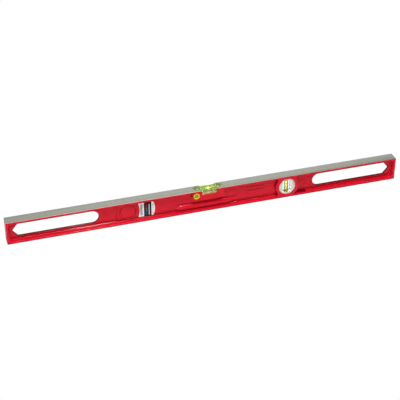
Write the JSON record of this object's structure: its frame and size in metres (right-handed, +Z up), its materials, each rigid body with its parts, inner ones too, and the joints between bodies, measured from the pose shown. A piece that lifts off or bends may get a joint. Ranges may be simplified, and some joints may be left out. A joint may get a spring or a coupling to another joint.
{
  "type": "spirit level",
  "caption": "Long cast I-beam spirit level with milled edges, hand-hold slots, an adjustable level vial in the top and a round plumb vial.",
  "frame": {"origin": "centre of the bottom working face", "axes": "+X along the length, -Y is the front face with the adjuster and label, +Z up"},
  "size_m": [1, 0.027, 0.06],
  "materials": {
    "painted_body": "glossy red paint on a cast body, with the top and bottom faces milled bare",
    "label_film": "printed film label",
    "green_acrylic": "clear green acrylic",
    "green_plug": "translucent green plastic",
    "green_liquid": "fluorescent green liquid",
    "bubble": "vapour bubble, seen as a bright lens",
    "black_print": "black rings",
    "zinc_steel": "zinc plated steel",
    "spring_steel": "spring steel",
    "yellow_plastic": "bright yellow moulded plastic",
    "black_rubber": "soft black rubber",
    "white_plastic": "white moulded plastic",
    "clear_acrylic": "clear acrylic",
    "yellow_plug": "yellow plastic plug",
    "yellow_liquid": "fluorescent yellow liquid"
  },
  "bodies": {
    "body": {"beam": "painted_body", "label": "label_film", "vial_screws": "zinc_steel", "vial_washers": "zinc_steel", "vial_spring_washer": "spring_steel", "plumb_housing_front": "white_plastic", "plumb_housing_rear": "white_plastic", "plumb_vial_block": "clear_acrylic", "plumb_rings": "black_print", "plumb_plug": "yellow_plug", "plumb_liquid": "yellow_liquid"},
    "adjuster": {"adjuster_knob": "yellow_plastic", "adjuster_seal": "black_rubber", "adjuster_clip": "spring_steel"},
    "level_vial": {"level_vial_block": "green_acrylic", "level_rings": "black_print", "level_plug": "green_plug", "level_liquid": "green_liquid"},
    "level_bubble": {"level_bubble": "bubble"},
    "plumb_bubble": {"plumb_bubble": "bubble"}
  },
  "joints": [
    {"name": "adjuster_turn", "type": "hinge", "parent": "body", "child": "adjuster", "pos_m": [-0.033, -0.0133, 0.046], "axis": [0, 1, 0], "range_deg": [-60, 60]},
    {"name": "level_vial_tilt", "type": "hinge", "parent": "body", "child": "level_vial", "pos_m": [0.0256, 0, 0.0541], "axis": [0, 1, 0], "range_deg": [-0.35, 0.35], "deforming": ["vial_spring_washer"]},
    {"name": "level_bubble_slide", "type": "slide", "parent": "level_vial", "child": "level_bubble", "axis": [1, 0, 0], "range_m": [-0.0105, 0.01]},
    {"name": "plumb_bubble_slide", "type": "slide", "parent": "body", "child": "plumb_bubble", "axis": [0, 0, 1], "range_m": [-0.0155, 0]}
  ],
  "couplings": [
    {"joint": "level_vial_tilt", "follows": "adjuster_turn", "ratio": 0.005645}
  ]
}
